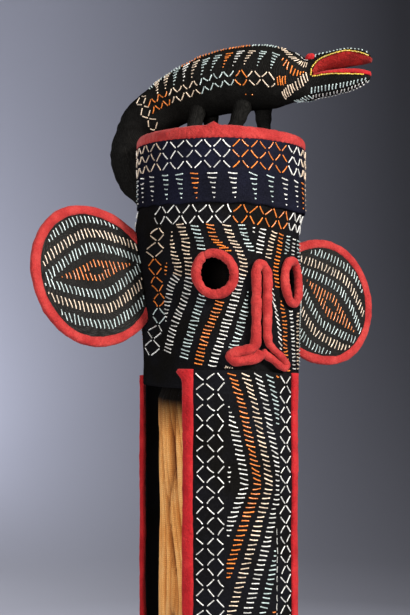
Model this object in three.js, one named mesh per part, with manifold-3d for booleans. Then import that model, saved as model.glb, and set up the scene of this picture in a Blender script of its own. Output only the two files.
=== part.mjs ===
// A beaded cloth elephant mask: a tall round hood with disc ears, stuffed eye rings and a stuffed nose,
// and a front and a back panel hanging from its hem. A stuffed crocodile stands on the crown. The mask is
// shown on a sackcloth-covered bolster that stands on a round foot. Millimetres, +Z up, the face looks
// along -Y, and the origin is the centre of the foot's underside.
import * as THREE from "three";
import { mergeVertices } from "three/addons/utils/BufferGeometryUtils.js";
import Module from "manifold-3d";

const wasm = await Module();
wasm.setup();

// Driving dimensions.
const GAP = 0.4; // between pieces that touch
const FOOT = { radius: 150, height: 22, edge: 5 };
const BOLSTER = { radius: 84, shoulder: 940, neckRadius: 36, neckZ: 1015, top: 1266.5 };
const HOOD = { topRadius: 110, hemRadius: 104, hemZ: 959, shoulderZ: 1191, topZ: 1271.3, wall: 3.5 };
const BAND = { thickness: 2, lowZ: 1191 };
const CROWN_RING = { innerRadius: 99, outerRadius: 112.6, height: 15 };
const EYE_TUBE = { halfWidth: 5.8, halfHeight: 5 };
const RIGHT_EYE = { angle: -28.8, z: 1102.5, halfWidth: 22.7, halfHeight: 25.4 };
const LEFT_EYE = { angle: 31, z: 1100, halfWidth: 18.5, halfHeight: 27.5 };
const NOSE = { tube: 6, halfSpread: 6.7, topZ: 1117, bottomZ: 1001, lean: 2.5 };
// An ear is longer on the side of its seam, where the hood cuts it off, than on its far side.
const EAR = { halfHeight: 91.6, farLength: 86, rootLength: 106, reach: 83 };
const EAR_BINDING = { width: 12.8, halfThickness: 4.6 };
const RIGHT_EAR = { seam: -98, heading: -73.7, lean: 13, z: 1101 };
const LEFT_EAR = { seam: 104, heading: 97, lean: 8, z: 1068 };
const PANEL = { radius: HOOD.hemRadius + 0.9, thickness: 4.6, lowZ: 35 };
const FRONT = { angle: -7, halfAngle: 37.4, topZ: 983 };
const BACK = { angle: 180, halfAngle: 48, topZ: 967 };
const BINDING = { width: 13.6, halfThickness: 3.8, bottomHeight: 13 };
const CROCODILE = { heading: 44, legRadius: 9.5 };
// The hood has slumped: its level lines dip on its left side, and its middle has swayed the other way.
const SLUMP = { towards: 64, from: 25, to: 108, atTop: 1.5, atShoulder: 7, atHem: 9 };
const SWAY = { most: 5, fromZ: 1040 };

const SEGMENTS = 48;
const degrees = THREE.MathUtils.degToRad;
const smooth = THREE.MathUtils.smoothstep;
const lerp = THREE.MathUtils.lerp;

// The direction that lies at an angle round the mask from the face, positive towards its left.
const outward = (angle) => new THREE.Vector3(Math.sin(degrees(angle)), -Math.cos(degrees(angle)), 0);
const slumpWay = outward(SLUMP.towards);

function hoodRadius(z) {
  return lerp(HOOD.hemRadius, HOOD.topRadius, smooth(z, HOOD.hemZ, HOOD.shoulderZ));
}

function slumpDrop(z) {
  const { atTop, atShoulder, atHem } = SLUMP;
  if (z > HOOD.shoulderZ) return THREE.MathUtils.mapLinear(z, HOOD.shoulderZ, HOOD.topZ, atShoulder, atTop);
  if (z > HOOD.hemZ) return THREE.MathUtils.mapLinear(z, HOOD.hemZ, HOOD.shoulderZ, atHem, atShoulder);
  return atHem * THREE.MathUtils.clamp((z - PANEL.lowZ) / (HOOD.hemZ - PANEL.lowZ), 0, 1);
}

function sway(z) {
  const t = THREE.MathUtils.clamp((z - SWAY.fromZ) / (HOOD.shoulderZ - SWAY.fromZ), 0, 1);
  return -SWAY.most * (256 / 27) * t ** 3 * (1 - t);
}

// Moves each point of a piece by the hood's slump and sway at its place.
function slumped(geometry) {
  const at = geometry.attributes.position;
  for (let i = 0; i < at.count; i++) {
    const [x, y, z] = [at.getX(i), at.getY(i), at.getZ(i)];
    const side = x * slumpWay.x + y * slumpWay.y;
    const drop = slumpDrop(z) * smooth(side, SLUMP.from, SLUMP.to);
    at.setXYZ(i, x + sway(z) * slumpWay.x, y + sway(z) * slumpWay.y, z - drop);
  }
  return geometry;
}

// Bends a flat piece round the mask's axis. Flat, x runs along the cloth, -y stands out from it and z is up;
// angle is where x = 0 goes, and radius gives the cloth's radius at a height.
function bent(geometry, angle, radius) {
  const at = geometry.attributes.position;
  for (let i = 0; i < at.count; i++) {
    const z = at.getZ(i);
    const r = radius(z) - at.getY(i);
    const a = degrees(angle) + at.getX(i) / radius(z);
    at.setXY(i, r * Math.sin(a), -r * Math.cos(a));
  }
  return slumped(geometry);
}

function merged(geometry) {
  const bare = geometry.index ? geometry.toNonIndexed() : geometry.clone();
  for (const name of Object.keys(bare.attributes)) {
    if (name !== "position") bare.deleteAttribute(name);
  }
  return mergeVertices(bare, 1e-4);
}

function toSolid(geometry) {
  const clean = merged(geometry);
  return new wasm.Manifold(
    new wasm.Mesh({
      numProp: 3,
      vertProperties: clean.attributes.position.array,
      triVerts: new Uint32Array(clean.index.array),
    }),
  );
}

function toGeometry(solid) {
  const mesh = solid.getMesh();
  const geometry = new THREE.BufferGeometry();
  geometry.setAttribute("position", new THREE.BufferAttribute(new Float32Array(mesh.vertProperties), 3));
  geometry.setIndex(new THREE.BufferAttribute(new Uint32Array(mesh.triVerts), 1));
  return geometry;
}

// A closed skin over rings of points that all have the same count, with a fan over each end.
function loft(rings) {
  const count = rings[0].length;
  const points = rings.flat();
  const faces = [];
  for (let i = 0; i + 1 < rings.length; i++) {
    for (let j = 0; j < count; j++) {
      const next = (j + 1) % count;
      const [a, b, c, d] = [i * count + j, i * count + next, (i + 1) * count + next, (i + 1) * count + j];
      faces.push(a, b, c, a, c, d);
    }
  }
  for (const [ring, first] of [[rings[0], true], [rings.at(-1), false]]) {
    const centre = ring.reduce((sum, p) => sum.add(p), new THREE.Vector3()).divideScalar(count);
    const start = first ? 0 : (rings.length - 1) * count;
    for (let j = 0; j < count; j++) {
      const [a, b] = [start + j, start + ((j + 1) % count)];
      faces.push(...(first ? [points.length, b, a] : [points.length, a, b]));
    }
    points.push(centre);
  }
  const geometry = new THREE.BufferGeometry().setFromPoints(points);
  geometry.setIndex(faces);
  return facingOut(geometry);
}

// Turns the faces round if they look inwards.
function facingOut(geometry) {
  const [at, index] = [geometry.attributes.position, geometry.index];
  const corner = [new THREE.Vector3(), new THREE.Vector3(), new THREE.Vector3()];
  let volume = 0;
  for (let i = 0; i < index.count; i += 3) {
    corner.forEach((p, k) => p.fromBufferAttribute(at, index.getX(i + k)));
    volume += corner[0].dot(corner[1].cross(corner[2]));
  }
  if (volume < 0) {
    for (let i = 0; i < index.count; i += 3) {
      const kept = index.getX(i + 1);
      index.setX(i + 1, index.getX(i + 2));
      index.setX(i + 2, kept);
    }
  }
  return geometry;
}

function ellipse(halfWidth, halfHeight, sides) {
  const curve = new THREE.EllipseCurve(0, 0, halfWidth, halfHeight);
  return new THREE.Shape(curve.getPoints(sides).slice(0, -1));
}

function sweep(section, path, steps) {
  return new THREE.ExtrudeGeometry(section, { steps, extrudePath: path, bevelEnabled: false });
}

const felt = new THREE.MeshStandardMaterial({ color: 0xb3262b, roughness: 0.95, metalness: 0 });
const blackCloth = new THREE.MeshStandardMaterial({ color: 0x17171b, roughness: 0.92, metalness: 0 });
const navyCloth = new THREE.MeshStandardMaterial({ color: 0x191a2b, roughness: 0.9, metalness: 0 });
const sackcloth = new THREE.MeshStandardMaterial({ color: 0xb48a55, roughness: 0.97, metalness: 0 });
const darkWood = new THREE.MeshStandardMaterial({ color: 0x2a1f18, roughness: 0.6, metalness: 0 });

const mask = new THREE.Group();

function add(name, geometry, material) {
  const mesh = new THREE.Mesh(geometry, material);
  mesh.name = name;
  mask.add(mesh);
  return mesh;
}

// A solid of revolution about the mask's axis, from [radius, height] pairs.
function turned(profile, segments = SEGMENTS) {
  const geometry = new THREE.LatheGeometry(profile.map(([r, z]) => new THREE.Vector2(r, z)), segments);
  return facingOut(merged(geometry.rotateX(Math.PI / 2)));
}

// The support: a round foot and a sackcloth bolster that narrows inside the hood to carry the crown.
function support() {
  const { radius, height, edge } = FOOT;
  const foot = [
    [0, 0],
    [radius - 2, 0],
    [radius, 2],
    [radius, height - edge],
    [radius - edge, height],
    [0, height],
  ];
  add("support_foot", turned(foot), darkWood);
  const b = BOLSTER;
  const floor = height + GAP;
  const bolster = [
    [0, floor],
    [b.radius - 8, floor],
    [b.radius, floor + 10],
    [b.radius, b.shoulder],
    [b.radius - 12, b.shoulder + 30],
    [b.neckRadius + 14, b.neckZ - 12],
    [b.neckRadius, b.neckZ + 20],
    [b.neckRadius, b.top - 14],
    [b.neckRadius - 12, b.top - 2],
    [0, b.top],
  ];
  add("support_bolster", turned(bolster, 24), sackcloth);
}

// The outside of the hood's wall from its hem to the brow band, as [radius, height] pairs, grown by a margin.
function hoodWall(margin) {
  return [0, 0.2, 0.4, 0.6, 0.8, 1].map((t) => {
    const z = lerp(HOOD.hemZ, HOOD.shoulderZ, t);
    return [hoodRadius(z) + margin, z];
  });
}

// The hood's wall, with a hole behind each eye ring, and the round of cloth that closes it on top.
function hood() {
  const { topRadius, topZ, wall } = HOOD;
  const outer = [...hoodWall(0), [topRadius, topZ]];
  const inner = outer.map(([r, z]) => [r - wall, z]).reverse();
  let solid = toSolid(slumped(turned([...outer, ...inner, outer[0]])));
  for (const eye of [RIGHT_EYE, LEFT_EYE]) {
    const edge = ellipse(eye.halfWidth - EYE_TUBE.halfWidth + 1, eye.halfHeight - EYE_TUBE.halfWidth + 1, 20);
    const plug = new THREE.ExtrudeGeometry(edge, { depth: 50, bevelEnabled: false });
    plug.translate(0, 0, -25).rotateX(Math.PI / 2).translate(0, -hoodRadius(eye.z), eye.z);
    plug.rotateZ(degrees(eye.angle));
    solid = solid.subtract(toSolid(slumped(plug)));
  }
  add("hood", toGeometry(solid), blackCloth);
  const radius = topRadius - wall - GAP;
  const round = [[0, topZ - wall], [radius, topZ - wall], [radius, topZ], [0, topZ]];
  add("hood_top", slumped(turned(round)), blackCloth);
}

// The second strip of cloth round the brow, and the red binding round the crown.
function crown() {
  const low = HOOD.topRadius + GAP;
  const high = low + BAND.thickness;
  const strip = [[low, BAND.lowZ], [high, BAND.lowZ], [high, HOOD.topZ], [low, HOOD.topZ], [low, BAND.lowZ]];
  add("brow_band", slumped(turned(strip)), navyCloth);
  const { innerRadius, outerRadius, height } = CROWN_RING;
  const [middle, half] = [(innerRadius + outerRadius) / 2, (outerRadius - innerRadius) / 2];
  const floor = HOOD.topZ + GAP;
  const ring = [[outerRadius, floor]];
  for (let i = 0; i <= 5; i++) {
    const a = (i * Math.PI) / 5;
    ring.push([middle + half * Math.cos(a), floor + height * (0.55 + 0.45 * Math.sin(a))]);
  }
  ring.push([innerRadius, floor], [outerRadius, floor]);
  add("crown_binding", slumped(turned(ring)), felt);
}

function eyeRing(name, eye) {
  const ring = new THREE.TorusGeometry(1, 0.5, 8, 24);
  const at = ring.attributes.position;
  for (let i = 0; i < at.count; i++) {
    const turn = Math.atan2(at.getY(i), at.getX(i));
    const across = 2 * (Math.hypot(at.getX(i), at.getY(i)) - 1) * EYE_TUBE.halfWidth;
    const out = (2 * at.getZ(i) + 1) * EYE_TUBE.halfHeight + GAP;
    const z = eye.z + (eye.halfHeight + across) * Math.sin(turn);
    at.setXYZ(i, (eye.halfWidth + across) * Math.cos(turn), -out, z);
  }
  add(name, facingOut(merged(bent(ring, eye.angle, hoodRadius))), felt);
}

// The nose is one stuffed roll: up one side, over the top and down the other, with a loop to each side below.
function nose() {
  const { tube, halfSpread, topZ, bottomZ, lean } = NOSE;
  const half = [
    [1.2, bottomZ],
    [12, bottomZ - 4],
    [26, bottomZ - 8.5],
    [34, bottomZ - 8.5],
    [38.5, bottomZ - 2.5],
    [34, bottomZ + 4],
    [23, bottomZ + 6],
    [12, bottomZ + 10],
    [halfSpread, bottomZ + 22],
    [halfSpread, bottomZ + 60],
    [halfSpread, topZ - 8],
  ];
  const shift = (z) => (lean * (z - bottomZ)) / (topZ - bottomZ);
  const place = (x, z) => new THREE.Vector3(x + shift(z), -(tube + GAP), z);
  const path = new THREE.CatmullRomCurve3([
    ...half.map(([x, z]) => place(-x, z)),
    place(0, topZ),
    ...half.reverse().map(([x, z]) => place(x, z)),
  ]);
  const roll = sweep(ellipse(tube, tube, 8), path, 56);
  add("nose", facingOut(merged(bent(roll, 0, hoodRadius))), felt);
}

// A point of an ear's outline, inset from its edge, in the ear's own plane: x runs out from the hood.
function earPoint(turn, inset, y = 0) {
  const long = Math.cos(turn) > 0 ? EAR.farLength : EAR.rootLength;
  return new THREE.Vector3((long - inset) * Math.cos(turn), y, (EAR.halfHeight - inset) * Math.sin(turn));
}

// One ear: a padded disc of beaded cloth and the red binding round its edge. Both end at the hood's wall.
function ear(side, { seam, heading, lean, z }) {
  const { width, halfThickness } = EAR_BINDING;
  const profile = [[34, -4], [width + GAP, -3], [width + GAP, 3], [34, 4]];
  const disc = loft(
    profile.map(([inset, y]) => Array.from({ length: 30 }, (_, j) => earPoint((j * Math.PI) / 15, inset, y))),
  );
  const edge = new THREE.Curve();
  edge.getPoint = (t) => earPoint(Math.PI * (1.2 + 1.6 * t), width / 2);
  const ring = sweep(ellipse(halfThickness, width / 2, 8), edge, 26);
  const out = outward(heading);
  const back = new THREE.Vector3(0, 1, 0).addScaledVector(out, -out.y).normalize();
  const up = new THREE.Vector3(0, 0, Math.cos(degrees(lean))).addScaledVector(back, Math.sin(degrees(lean)));
  const placed = new THREE.Matrix4().makeBasis(out, up.clone().cross(out), up);
  const root = outward(seam).multiplyScalar(hoodRadius(z));
  placed.setPosition(root.addScaledVector(out, EAR.reach).setZ(z));
  const wall = hoodWall(GAP);
  const within = toSolid(slumped(turned([[0, HOOD.hemZ], ...wall, [0, HOOD.shoulderZ]])));
  for (const [name, geometry, material] of [["ear", disc, blackCloth], ["ear_binding", ring, felt]]) {
    const whole = toSolid(facingOut(merged(geometry.applyMatrix4(placed))));
    add(`${name}_${side}`, toGeometry(whole.subtract(within)), material);
  }
}

// A hanging panel with its red bindings. Its cloth laps over the outside of the hood's hem.
function panel(side, { angle, halfAngle, topZ }) {
  const { radius, thickness, lowZ } = PANEL;
  const inner = () => radius;
  const halfWidth = radius * degrees(halfAngle);
  const clothLow = lowZ + BINDING.bottomHeight + GAP;
  const cloth = new THREE.BoxGeometry(2 * halfWidth, thickness, topZ - clothLow, 14, 1, 4);
  cloth.translate(0, -thickness / 2, (topZ + clothLow) / 2);
  add(`${side}_panel`, merged(bent(cloth, angle, inner)), blackCloth);
  const { width, halfThickness, bottomHeight } = BINDING;
  const out = halfThickness + 0.2;
  for (const [hand, way] of [["right", -1], ["left", 1]]) {
    const middle = way * (halfWidth + GAP + width / 2);
    const line = new THREE.LineCurve3(
      new THREE.Vector3(middle, -out, clothLow),
      new THREE.Vector3(middle, -out, topZ),
    );
    const strip = sweep(ellipse(halfThickness, width / 2, 10), line, 4);
    add(`${side}_binding_${hand}`, facingOut(merged(bent(strip, angle, inner))), felt);
  }
  const whole = 2 * (halfWidth + GAP + width);
  const hem = new THREE.BoxGeometry(whole, 2 * halfThickness - 1, bottomHeight, 16, 1, 1);
  hem.translate(0, -out, lowZ + bottomHeight / 2);
  add(`${side}_binding_bottom`, merged(bent(hem, angle, inner)), felt);
}

// The crocodile is set out in its own frame: s runs to its head, t to its right, h is height.
const ahead = outward(CROCODILE.heading);
const sideways = new THREE.Vector3(ahead.y, -ahead.x, 0);
function inCrocodile(s, t, h) {
  return new THREE.Vector3(0, 0, h).addScaledVector(ahead, s).addScaledVector(sideways, t);
}

// Its body from the tip of the tail to the back of the jaws: s, h, half width, half height across the line.
const BODY = [
  [-119, 1199, 3, 3],
  [-123.5, 1212, 8, 8.7],
  [-131.5, 1228.6, 15, 17],
  [-136.2, 1250, 20, 21.5],
  [-138.8, 1274, 23, 23.5],
  [-130, 1294.5, 26, 26],
  [-112.7, 1317, 29, 30],
  [-88.5, 1330.5, 32, 33],
  [-59, 1346, 35, 36],
  [-8, 1360, 41, 41.6],
  [40, 1364, 42, 43],
  [78, 1362.6, 38, 40],
  [97, 1360.5, 33, 35],
  [115, 1356, 27, 29],
  [128, 1357.5, 24.5, 28.5],
];
// The jaws: s, half width, then the heights of the skin's outside, the lips and the red lining's face.
const UPPER_JAW = [
  [122, 21, 1384, 1366, 1361],
  [130, 21, 1388, 1375, 1362],
  [152, 20, 1390, 1381.5, 1367.5],
  [173, 18, 1392.5, 1386, 1370],
  [192, 14, 1389.5, 1383, 1371.5],
  [204, 7, 1383, 1378.5, 1373],
];
const LOWER_JAW = [
  [122, 20, 1331, 1358, 1360.5],
  [132, 20, 1332, 1359, 1362],
  [150, 19, 1334, 1360.4, 1366],
  [173, 16.5, 1338.5, 1359.8, 1367],
  [193, 12.5, 1345.5, 1358.5, 1364.5],
  [203, 6.5, 1351.5, 1357.5, 1361],
];

// Smooth rows between the rows of a table.
function eased(table, steps) {
  const rows = [];
  for (let i = 0; i <= steps; i++) {
    const at = (i / steps) * (table.length - 1);
    const k = Math.min(Math.floor(at), table.length - 2);
    const near = [k - 1, k, k + 1, k + 2].map((n) => THREE.MathUtils.clamp(n, 0, table.length - 1));
    const [a, b, c, d] = near.map((n) => table[n]);
    const t = at - k;
    rows.push(b.map((v, n) => {
      const square = 2 * a[n] - 5 * v + 4 * c[n] - d[n];
      const cube = 3 * (v - c[n]) + d[n] - a[n];
      return v + 0.5 * t * (c[n] - a[n] + t * (square + t * cube));
    }));
  }
  return rows;
}

function bodySkin(grown = 0) {
  const rows = eased(BODY, 30);
  const rings = rows.map(([s, h, wide, high], i) => {
    const [before, after] = [rows[Math.max(i - 1, 0)], rows[Math.min(i + 1, rows.length - 1)]];
    const along = new THREE.Vector2(after[0] - before[0], after[1] - before[1]).normalize();
    return Array.from({ length: 14 }, (_, j) => {
      const turn = (j / 14) * 2 * Math.PI;
      const [side, up] = [(wide + grown) * Math.cos(turn), (high + grown) * Math.sin(turn)];
      return inCrocodile(s - along.y * up, side, h + along.x * up);
    });
  });
  return loft(rings);
}

// Half an oval from the lips to the height of its top or bottom, closed flat along the lips.
function halfOval(s, wide, lips, far) {
  return Array.from({ length: 9 }, (_, j) => {
    const turn = (j / 8) * Math.PI;
    return inCrocodile(s, wide * Math.cos(turn), lips + (far - lips) * Math.sin(turn));
  });
}

// The space that the crown and its binding fill, with a gap round it.
function crownSpace() {
  const { innerRadius, outerRadius, height } = CROWN_RING;
  const [out, within] = [outerRadius + 1, innerRadius - 1];
  const [rim, floor] = [HOOD.topZ + height + 1.2, HOOD.topZ + GAP];
  const space = [[0, 1150], [out, 1150], [out, rim], [within, rim], [within, floor], [0, floor]];
  return toSolid(slumped(turned(space)));
}

function crocodile() {
  const crown = crownSpace();
  let body = toSolid(bodySkin());
  for (const jaw of [UPPER_JAW, LOWER_JAW]) {
    const skin = eased(jaw, 10).map(([s, wide, outside, lips]) => halfOval(s, wide, lips, outside));
    body = body.add(toSolid(loft(skin)));
  }
  add("crocodile_body", toGeometry(body.subtract(crown)), blackCloth);
  for (const [side, t] of [["right", 11], ["left", -11]]) {
    const bump = new THREE.SphereGeometry(7, 10, 6);
    bump.translate(...inCrocodile(124, t, 1382).toArray());
    const eye = toSolid(facingOut(merged(bump))).subtract(body);
    add(`crocodile_eye_${side}`, toGeometry(eye).translate(0, 0, GAP), felt);
  }
  const room = toSolid(bodySkin(GAP));
  for (const [name, jaw, way] of [["upper", UPPER_JAW, -1], ["lower", LOWER_JAW, 1]]) {
    const rows = eased(jaw, 10).map(([s, wide, , lips, face]) => {
      return halfOval(s, wide - 0.6, lips + way * GAP, face);
    });
    const lining = toSolid(loft(rows)).subtract(room);
    add(`crocodile_mouth_${name}`, toGeometry(lining), felt);
  }
  const feet = [
    ["front_right", [22, 33], [40, 20]],
    ["front_left", [52, -30], [54, -22]],
    ["hind_right", [-33, 33], [-26, 20]],
    ["hind_left", [-20, -32], [-24, -20]],
  ];
  for (const [name, [footS, footT], [hipS, hipT]] of feet) {
    const foot = inCrocodile(footS, footT, HOOD.topZ - 8);
    const line = new THREE.LineCurve3(foot, inCrocodile(hipS, hipT, 1345));
    const section = ellipse(CROCODILE.legRadius, CROCODILE.legRadius, 10);
    const leg = toSolid(facingOut(merged(sweep(section, line, 1))));
    add(`crocodile_leg_${name}`, toGeometry(leg.subtract(crown).subtract(room)), blackCloth);
  }
}

support();
hood();
crown();
eyeRing("eye_ring_right", RIGHT_EYE);
eyeRing("eye_ring_left", LEFT_EYE);
nose();
ear("right", RIGHT_EAR);
ear("left", LEFT_EAR);
panel("front", FRONT);
panel("back", BACK);
crocodile();

export default mask;
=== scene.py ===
"""A beaded cloth elephant mask with a stuffed crocodile on its crown, on a sackcloth-covered stand.

Lengths are in millimetres and turned into metres where a mesh is made. +Z is up and the face looks along -Y.
"""

import math

import bmesh
import bpy
import numpy as np
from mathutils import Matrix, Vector, noise
from mathutils.bvhtree import BVHTree


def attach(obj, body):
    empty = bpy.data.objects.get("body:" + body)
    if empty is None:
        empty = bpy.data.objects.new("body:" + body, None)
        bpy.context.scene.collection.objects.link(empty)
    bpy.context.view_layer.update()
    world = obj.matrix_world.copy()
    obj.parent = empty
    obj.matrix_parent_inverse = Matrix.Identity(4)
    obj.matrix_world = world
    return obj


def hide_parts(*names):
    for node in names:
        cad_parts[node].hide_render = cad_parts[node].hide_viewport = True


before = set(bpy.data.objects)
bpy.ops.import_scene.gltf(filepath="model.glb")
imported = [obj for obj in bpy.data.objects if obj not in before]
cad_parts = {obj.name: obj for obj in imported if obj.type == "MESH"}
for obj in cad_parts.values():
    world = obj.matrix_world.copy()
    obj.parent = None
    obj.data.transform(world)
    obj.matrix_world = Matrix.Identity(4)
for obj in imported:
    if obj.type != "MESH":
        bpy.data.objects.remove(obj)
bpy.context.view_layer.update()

MM = 0.001

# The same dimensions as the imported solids.
HEM_RADIUS, TOP_RADIUS = 104.0, 110.0
HEM_Z, SHOULDER_Z, TOP_Z = 959.0, 1191.0, 1271.3
PANEL_RADIUS, PANEL_LOW_Z = 104.9, 35.0
BINDING_WIDTH = 13.6
EYE_TUBE = 5.8
RIGHT_EYE = dict(angle=-28.8, z=1102.5, half_width=22.7, half_height=25.4)
LEFT_EYE = dict(angle=30.2, z=1100.0, half_width=16.5, half_height=27.0)
RIGHT_EAR = dict(seam=-98.0, heading=-73.7, lean=13.0, z=1101.0)
LEFT_EAR = dict(seam=104.0, heading=97.0, lean=8.0, z=1068.0)
EAR_HALF_HEIGHT, EAR_FAR, EAR_ROOT, EAR_REACH = 91.6, 86.0, 106.0, 83.0
CROCODILE_HEADING = 44.0

# How far a panel's cloth stands out from PANEL_RADIUS.
PANEL_OUT = 3.0
# Seed beads and the strands that they are sewn on in.
BEAD = 2.0
YELLOW_BEAD = 2.1
STRAND = 11.0
ROW_PITCH = 4.9

rng = np.random.default_rng(7)


# Directions and bends


def outward(angle):
    """The direction that lies at an angle in degrees round the mask from its face."""
    a = np.radians(angle)
    return np.stack([np.sin(a), -np.cos(a), np.zeros_like(a)], axis=-1)


def around(count):
    """Evenly spaced angles round a full turn, in radians."""
    return np.linspace(0, 2 * np.pi, count, endpoint=False)


def smooth(value, low, high):
    """A soft step from 0 at low to 1 at high."""
    t = np.clip((value - low) / (high - low), 0, 1)
    return t * t * (3 - 2 * t)


def hump(value, width):
    """A bell curve, 1 high at 0."""
    return np.exp(-((value / width) ** 2))


def blunt(wave, power):
    """A sine or cosine with flatter tops, which squares off a round section."""
    return np.sign(wave) * np.abs(wave) ** power


def headings(path):
    """The direction of a path at each of its points."""
    ahead = np.gradient(path, axis=0)
    return ahead / np.linalg.norm(ahead, axis=1)[:, None]


def hood_radius(z):
    return HEM_RADIUS + (TOP_RADIUS - HEM_RADIUS) * smooth(z, HEM_Z, SHOULDER_Z)


def panel_radius(z):
    return np.full_like(np.asarray(z, float), PANEL_RADIUS)


def slumped(points):
    """Moves points as the hood has slumped: it dips on its left, and its middle sways to its right."""
    way = outward(64.0)
    z = points[..., 2]
    drop = np.interp(z, [PANEL_LOW_Z, HEM_Z, SHOULDER_Z, TOP_Z], [0, 9, 7, 1.5])
    t = np.clip((z - 1040) / (SHOULDER_Z - 1040), 0, 1)
    sway = -5 * (256 / 27) * t**3 * (1 - t)
    moved = points + sway[..., None] * way
    moved[..., 2] -= drop * smooth(points @ way, 25, 108)
    return moved


def turned_about(r, angle, z):
    """Points at a radius, an angle in degrees from the face, and a height."""
    r, angle, z = np.broadcast_arrays(r, angle, z)
    points = r[..., None] * outward(angle)
    points[..., 2] = z
    return points


def bent(along, out, z, angle=0.0, radius=hood_radius):
    """Points of a flat piece bent round the mask: along the cloth, out from it, and up."""
    z = np.asarray(z, float)
    r = radius(z)
    return slumped(turned_about(r + out, angle + np.degrees(along / r), z))


# Meshes


def add_mesh(name, points, faces, material, uv=None):
    """An object from points. uv is each point's place on the flat cloth. Both are in millimetres."""
    mesh = bpy.data.meshes.new(name)
    mesh.from_pydata((np.reshape(points, (-1, 3)) * MM).tolist(), [], faces)
    mesh.polygons.foreach_set("use_smooth", [True] * len(mesh.polygons))
    if uv is not None:
        corners = np.empty(len(mesh.loops), dtype=np.int64)
        mesh.loops.foreach_get("vertex_index", corners)
        layer = mesh.uv_layers.new(name="cloth")
        layer.data.foreach_set("uv", (np.reshape(uv, (-1, 2))[corners] * MM).ravel())
    mesh.validate()
    mesh.materials.append(material)
    piece = bpy.data.objects.new(name, mesh)
    bpy.context.scene.collection.objects.link(piece)
    return piece


def set_values(piece, name, values):
    """Stores a number on each vertex, which a material reads."""
    attribute = piece.data.attributes.new(name, "FLOAT", "POINT")
    attribute.data.foreach_set("value", np.ravel(values))


def grid_faces(rows, columns, closed=False, start=0):
    """Quads between the rows of a grid of points; a closed grid joins its last column to its first."""
    faces = []
    for i in range(rows - 1):
        for j in range(columns if closed else columns - 1):
            k = (j + 1) % columns
            a, b = start + i * columns, start + (i + 1) * columns
            faces.append((a + j, a + k, b + k, b + j))
    return faces


def facing_out(piece):
    """Turns every face of a closed piece outwards."""
    work = bmesh.new()
    work.from_mesh(piece.data)
    bmesh.ops.recalc_face_normals(work, faces=work.faces)
    work.to_mesh(piece.data)
    work.free()
    return piece


def tube_mesh(name, rings, material, closed, uv=None):
    """A skin over rings of points, joined end to start if closed, and capped at both ends if not."""
    count, sides = np.shape(rings)[:2]
    if closed:
        faces = grid_faces(count + 1, sides, closed=True)
        faces = [tuple(k % (count * sides) for k in f) for f in faces]
    else:
        faces = grid_faces(count, sides, closed=True)
        faces += [tuple(range(sides)), tuple(range(count * sides - 1, (count - 1) * sides - 1, -1))]
    return facing_out(add_mesh(name, rings, faces, material, uv))


def thicken(piece, thickness):
    """Gives a one-sided cloth its thickness, to its back."""
    modifier = piece.modifiers.new("thickness", "SOLIDIFY")
    modifier.thickness = thickness * MM
    modifier.offset = -1
    modifier.use_rim = True


def applied(piece):
    """The piece with its modifiers worked into its mesh."""
    bpy.context.view_layer.update()
    made = piece.evaluated_get(bpy.context.evaluated_depsgraph_get())
    mesh = bpy.data.meshes.new_from_object(made)
    piece.modifiers.clear()
    piece.data = mesh
    return piece


def place(piece, *nodes, slot, fill=None):
    """Ties a piece to its body and hides the solids it stands for. slot is not used. fill is how full a
    padded one is; it is not used.
    """
    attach(piece, "root")
    if nodes:
        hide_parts(*nodes)
    return piece


def lumps(points, size, seed=0.0):
    """Smooth random values from -1 to 1 at points, with lumps of that size in millimetres."""
    flat = np.asarray(points).reshape(-1, 3) / size + seed
    values = [noise.noise(Vector(p)) for p in flat]
    return np.clip(np.array(values) * 1.6, -1, 1).reshape(np.shape(points)[:-1])


def felt_skin(points, amount=0.45, seed=0.0):
    """Uneven stuffing: moves points by small soft lumps."""
    shift = []
    for n in range(3):
        shift.append(amount * (lumps(points, 9, seed + n * 31) + 0.5 * lumps(points, 3.2, seed + n * 17)))
    return points + np.stack(shift, axis=-1)


def spline(points, count):
    """Evenly spaced points on a smooth curve through the given ones."""
    points = np.asarray(points, float)
    before = np.vstack([points[:1], points[:-1]])
    after = np.vstack([points[1:], points[-1:]])
    slopes = (after - before) / 2
    t = np.linspace(0, 1, 24, endpoint=False)[:, None]
    from_a, out_a = 2 * t**3 - 3 * t**2 + 1, t**3 - 2 * t**2 + t
    to_b, into_b = 3 * t**2 - 2 * t**3, t**3 - t**2
    fine = []
    for k in range(len(points) - 1):
        here = from_a * points[k] + out_a * slopes[k]
        fine.append(here + to_b * points[k + 1] + into_b * slopes[k + 1])
    fine = np.vstack([*fine, points[-1:]])
    length = np.concatenate([[0], np.cumsum(np.linalg.norm(np.diff(fine, axis=0), axis=1))])
    at = np.linspace(0, length[-1], count)
    return np.stack([np.interp(at, length, column) for column in fine.T], axis=1)


# Materials

# The wave texture's scale that makes one wave to the metre.
ONE_WAVE = 0.314


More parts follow.
